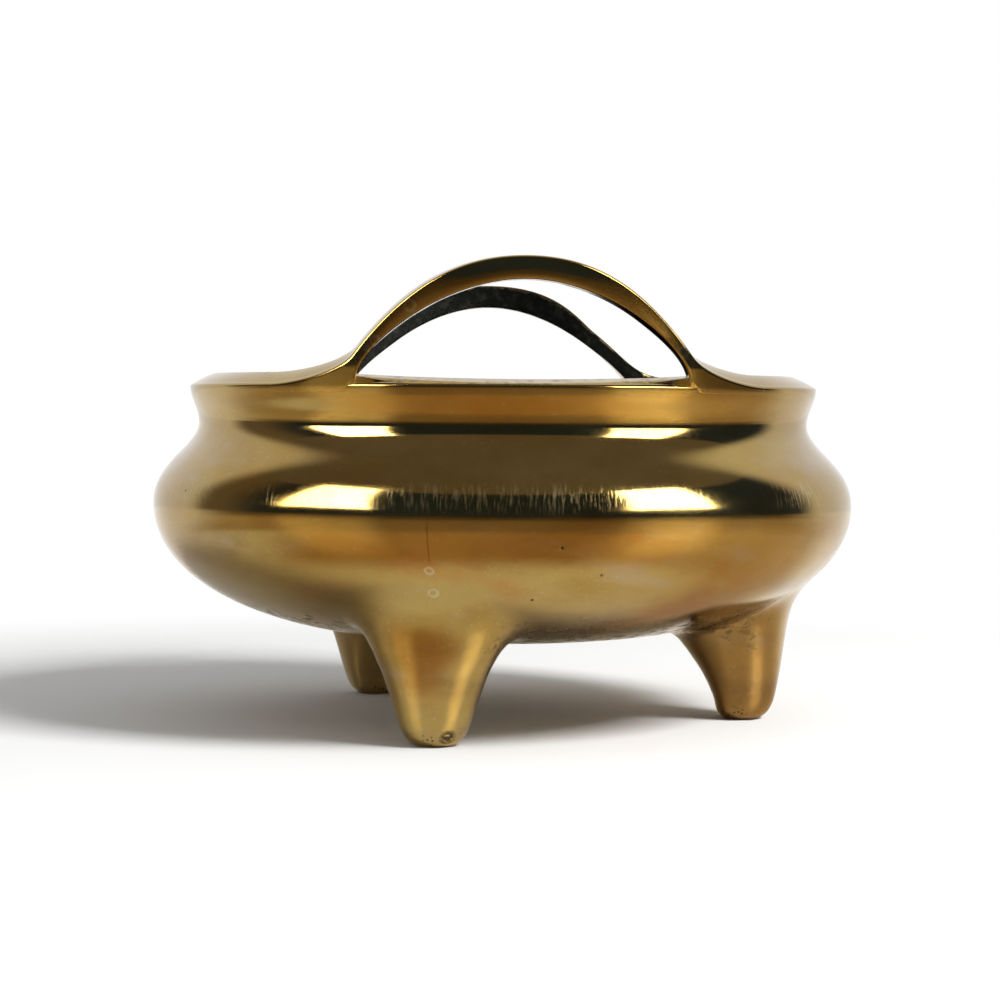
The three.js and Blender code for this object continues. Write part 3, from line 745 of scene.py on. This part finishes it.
def handleSection(handle, bottom, top, free, sink):
    # a closed run of points across the handle, with the age of each; free is 1 where air is below it, 0 on the lip
    width, shape = bowl["lipWidth"], handleShape
    landTop = bowl["lipHeight"] + bowl["landRise"] - bowl["innerArris"]
    full = max(top[1] - bottom[1], 0.01)
    softened = 0.5 * free + 0.001
    edgeShare, lowShare = bowl["arrisDrop"] / full, softened / full
    rim = lipEdge(bowl, 0, 0, tiltAt(handle, top[0]), (8, 12, 6))

    def outer(share):
        height = bottom[1] + full * share
        return faceDepth(height, bottom[0] + (top[0] - bottom[0]) * share, full, share, free)

    def inner(share):  # the bowl's inner wall runs on below the land
        height = bottom[1] + full * share
        wall = (bowl["neckWall"] + bowl["lipRadius"] - bowl["neck"][0] - width) / (landTop - bowl["neck"][1])
        return width + np.maximum(landTop - height, 0) * wall * (1 - free)

    # each spot is a depth, a share of the height, a lift above that and an age
    spots = [(outer(share), share, 0.0, 0.0) for share in np.linspace(lowShare, 1 - edgeShare, 17)]
    edge = outer(1 - edgeShare)
    for k, (radius, lift) in enumerate(rim[1:]):  # the outer edge fades into the land, which ages to the inside
        spots.append((edge * max(0.0, 1 - k / 8) - radius, 1.0, lift, max(0.0, 0.07 * (k - 16))))
    highShare = 1 + (rim[-1][1] - 0.3) / full
    spots += [(inner(share), share, 0.0, shape["innerAge"]) for share in np.linspace(highShare, lowShare, 11)[1:]]
    under = bezier([(width, softened), (width, 0.2 * softened), (width - 0.1, 0), (width - 0.5, 0)], 5)[1:]
    spots += [(depth, rise / full, 0.0, shape["edgeAge"]) for depth, rise in under]
    start = outer(0.0)
    across = zip(np.linspace(width - 0.5, 0.5 + start, 7)[1:], np.linspace(*shape["underAge"], 7)[1:])
    spots += [(depth, 0.0, 0.0, age) for depth, age in across]
    turnUp = bezier([(0.5 + start, 0), (0.12 + start, 0), (start, 0.2 * softened), (outer(lowShare), softened)], 5)
    spots += [(depth, rise / full, 0.0, shape["outerAge"]) for depth, rise in turnUp[1:-1]]
    depth, share, lift, age = np.array(spots, float).T
    reach = bottom[0] + (top[0] - bottom[0]) * share
    heights = bottom[1] + full * share + lift + shape["proud"] * (1 - free) - sink
    atBottom = draftAt(handle, bottom[0])
    draft = atBottom + (shape["legDraft"] - atBottom) * np.clip(share, 0, 1)
    return onHandle(handle, reach, depth + sink, heights, draft), age


def handleRungs(handle):
    # from the crown to the toe: bottom, top, how free it hangs and how far it sinks into the lip
    top, arch = handleTop(handle), handleArch(handle)
    corner, root, toe = handle["cornerReach"], handleShape["rootReach"], handle["toeReach"]
    base = bowl["lipHeight"] - handleShape["buried"]
    shoulder = (corner + root) / 2

    def topAt(reach):
        return np.array((reach, np.interp(reach, top[:, 0], top[:, 1])))

    rungs = []
    for share in np.linspace(0, 1, handleShape["rungs"] + 1):
        rungs.append((alongPath(arch, share), topAt(share * (shoulder - 0.3)), 1.0, 0.0))
    cornerHeight = bowl["lipHeight"] + handleShape["cornerRise"]
    for share in np.linspace(0, 1, 7)[1:]:
        down = np.array((corner + 0.4 * share, cornerHeight + (base - cornerHeight) * share))
        rungs.append((down, topAt(shoulder - 0.3 + 0.3 * share), 1 - share, 0.0))
    for share in np.linspace(0, 1, 13)[1:]:
        along = np.array((corner + 0.4 + (root - corner - 0.4) * share, base))
        rungs.append((along, topAt(shoulder + (root - shoulder) * share), 0.0, 0.0))
    for share in np.linspace(0, 1, 41)[1:]:
        reach = root + (toe + 1 - root) * share
        height = topAt(min(reach, toe))[1]
        sink = 0.05 * float(smoothStep(share, 0.88, 1))
        rungs.append((np.array((reach, base)), np.array((reach, height)), 0.0, sink))
    return rungs


def loftMesh(name, rings, material, age):
    count, total = len(rings[0]), len(rings)
    vertices, faces = [tuple(p * mm) for ring in rings for p in ring], []
    for i in range(total - 1):
        for j in range(count):
            a, b = i * count + j, i * count + (j + 1) % count
            faces.append((a, b, b + count, a + count))
    for ring in (0, total - 1):  # end rings are closed with a fan
        vertices.append(tuple(np.mean(rings[ring], axis=0) * mm))
        centre = len(vertices) - 1
        for j in range(count):
            faces.append((centre, ring * count + j, ring * count + (j + 1) % count))
    thing = meshObject(name, vertices, faces, material, smooth=True)
    outwards(thing)
    markAge(thing.data, np.concatenate([age, [0, 0]]))
    return thing


def makeHandle(name, handle):
    half = handleRungs(handle)
    flip = np.array((-1, 1))
    rings = [handleSection(handle, bottom * flip, top * flip, free, sink) for bottom, top, free, sink in reversed(half)]
    rings += [handleSection(handle, *rung) for rung in half[1:]]
    ages = np.concatenate([age for _, age in rings])
    thing = loftMesh(name + "_cast", [ring for ring, _ in rings], polishedBrass, ages)
    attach(thing, "root")
    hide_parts(name)


def reachOf(handle, where, draft):
    azimuth = np.arctan2(where[:, 0], -where[:, 1]) - radians(handle["azimuth"])
    turn = np.arctan2(np.sin(azimuth), np.cos(azimuth))
    depth = bowl["lipRadius"] - np.hypot(where[:, 0], where[:, 1])
    return turn * (bowl["lipRadius"] - draft * depth), depth


def cutSills(mesh, row, first, last):  # the lip lies lower and flatter under each bridge
    where = points(mesh)
    onLip = (row >= first) & (row <= last)
    for handle in handles.values():
        reach, depth = reachOf(handle, where, handleShape["cornerDraft"])
        away = np.abs(reach)
        inside = onLip & (away < handleShape["rootReach"])
        curl = bowl["sillCurl"] * (away / handle["cornerReach"]) ** 2
        cut = bowl["lipHeight"] + bowl["sillRise"] + curl + bowl["sillSlope"] * depth / bowl["lipWidth"]
        lowered = np.minimum(where[:, 2], cut)
        keep = smoothStep(away, handle["cornerReach"] + 1, handleShape["rootReach"])
        where[inside, 2] = (lowered + (where[:, 2] - lowered) * keep)[inside]
    movePoints(mesh, where)


def darkerInwardsAt(radius):  # age, and with it the soot colour, growing towards the axis inside these radii
    return sum(most * smoothStep(radius, start, stop) for most, start, stop in bowl["underAge"])


def bowlAge(mesh, row, first, last):
    where = points(mesh)
    across = np.clip((row - first) / (last - first), 0, 1)
    age = np.where(row >= last - 3, 1.0, bowl["landAge"] * smoothStep(across, 0.5, 1))
    age = np.where(row < first, np.maximum(age, darkerInwardsAt(np.hypot(where[:, 0], where[:, 1]))), age)
    for handle in handles.values():
        reach, _ = reachOf(handle, where, handleShape["cornerDraft"])
        sill = (np.abs(reach) < handle["cornerReach"] + 1) & (across > 0.12) & (across < 1)
        age = np.where(sill, np.maximum(age, bowl["sillAge"]), age)
    return age


def makeBowl():
    profile, lipRows = bowlProfile(bowl)
    seed = meshObject("bowl_profile", [(0, -r * mm, z * mm) for r, z in profile], [], polishedBrass)
    mesh = grown(seed, turningTree(), {
        "Points In Profile": len(profile), "Steps Around": bowl["around"],
        "Weld Distance": 0.001 * mm, "Material": polishedBrass})
    bpy.data.objects.remove(seed)
    row = np.zeros(len(mesh.vertices), np.int32)
    mesh.attributes["row"].data.foreach_get("value", row)
    cutSills(mesh, row, *lipRows)
    thing = newObject("bowl_cast", mesh)
    outwards(thing)
    mesh.materials.clear()
    mesh.materials.append(polishedBrass)
    markAge(mesh, bowlAge(mesh, row, *lipRows))
    mesh.attributes.remove(mesh.attributes["row"])
    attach(thing, "root")
    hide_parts("bowl")


makeBowl()
print("bowl turned")
for name, handle in handles.items():
    makeHandle(name, handle)
print("handles lofted")


# feet

feet = {"front_foot": -18.5, "right_foot": 84.0, "rear_foot": -149.5}
footShape = {
    "circle": 53.6, "radius": 10.0, "around": 128,
    # share of the belly's height, then reach outwards, inwards and sideways as shares of the radius
    "rows": [
        (0.0, 0.36, 0.27, 0.34), (0.006, 0.44, 0.33, 0.42), (0.025, 0.53, 0.40, 0.51), (0.08, 0.67, 0.49, 0.63),
        (0.19, 0.79, 0.56, 0.75), (0.42, 0.90, 0.81, 0.93), (0.65, 0.98, 1.18, 1.13),
        (0.77, 1.02, 1.41, 1.29), (0.87, 1.06, 1.64, 1.46),
    ],
    # fillet to the belly, outwards, inwards and sideways: where it starts, and its reach on the belly
    "filletFrom": (0.66, 0.72, 0.68), "filletTo": (17.6, 21.6, 22.0), "pull": (0.45, 0.46),
}


def bellyHeightAt(radius):
    lower, _ = bellySide(bowl, bowl["base"], bowl["belly"], bowl["neck"], 600, 8)
    return np.interp(radius, lower[:, 0], lower[:, 1], left=bowl["base"][1])


def smoothThrough(at, known, values):  # cubic through the known values, with no overshoot
    slopes = np.diff(values) / np.diff(known)
    ends = np.concatenate([[slopes[0]], np.where(slopes[1:] * slopes[:-1] > 0,
                           2 * slopes[1:] * slopes[:-1] / (slopes[1:] + slopes[:-1] + 1e-12), 0), [slopes[-1]]])
    i = np.clip(np.searchsorted(known, at, side="right") - 1, 0, len(known) - 2)
    step = known[i + 1] - known[i]
    t = (at - known[i]) / step
    return ((1 + 2 * t) * (1 - t) ** 2 * values[i] + t * (1 - t) ** 2 * step * ends[i]
            + t * t * (3 - 2 * t) * values[i + 1] + t * t * (t - 1) * step * ends[i + 1])


def makeFoot(name, azimuth):
    values = footShape
    rows = np.array(values["rows"])
    seat = bellyHeightAt(values["circle"])
    a = radians(azimuth)
    outward, sideways = np.array((sin(a), -cos(a))), np.array((cos(a), sin(a)))
    centre = outward * values["circle"]
    columns, ages = [], []
    for angle in np.linspace(0, 2 * np.pi, values["around"], endpoint=False):
        way = outward * cos(angle) + sideways * sin(angle)
        weights = (max(cos(angle), 0) ** 2, min(cos(angle), 0) ** 2, sin(angle) ** 2)
        start = np.dot(weights, values["filletFrom"])
        stop = np.dot(weights, values["filletTo"])

        def wallAt(level):  # reach of the plain cone in this direction
            o, i, s = (smoothThrough(level, rows[:, 0], rows[:, k]) * values["radius"] for k in (1, 2, 3))
            reach = o if cos(angle) > 0 else i
            return 1 / hypot(cos(angle) / reach, sin(angle) / s)

        def bellyAt(reach):
            return bellyHeightAt(np.linalg.norm(centre + way * reach))

        levels = np.concatenate([np.linspace(0, 0.025, 6), np.linspace(0.025, 0.19, 14)[1:],
                                 np.linspace(0.19, start, 24)[1:]])
        wall = [(wallAt(level), level * seat) for level in levels]
        rising = np.array((wallAt(start) - wallAt(start - 0.02), 0.02 * seat))
        along = np.array((0.5, bellyAt(stop + 0.25) - bellyAt(stop - 0.25)))
        foot, end = np.array(wall[-1]), np.array((stop, bellyAt(stop)))
        span = np.linalg.norm(end - foot)
        pull, hold = values["pull"]
        fillet = bezier([foot, foot + rising / np.linalg.norm(rising) * span * pull,
                         end - along / np.linalg.norm(along) * span * hold, end], 26)[1:]
        hidden = [(reach, bellyAt(reach) + rise) for reach, rise in (
            (stop + 0.35, 0.03), (stop + 0.8, 0.12), (stop + 1.3, 0.35), (stop + 1.5, 0.8),
            (stop, 1.3), (stop * 0.7, 1.2), (stop * 0.35, 1.2))]
        run = np.vstack([wall, fillet, hidden])
        spread = smoothStep(run[:, 1], 13, 22)
        flat = centre + np.outer(run[:, 0], way)
        # the same soot colour, darker towards the middle, rises up each foot where it meets the belly
        ages.append(darkerInwardsAt(np.linalg.norm(flat, axis=1)) * spread)
        columns.append(np.column_stack([flat, run[:, 1]]))
    rings = list(np.swapaxes(np.array(columns), 0, 1))
    thing = loftMesh(name + "_cast", rings, filedBrass, np.array(ages).T.ravel())
    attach(thing, "root")
    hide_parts(name)


for name, azimuth in feet.items():
    makeFoot(name, azimuth)
print("feet shaped")
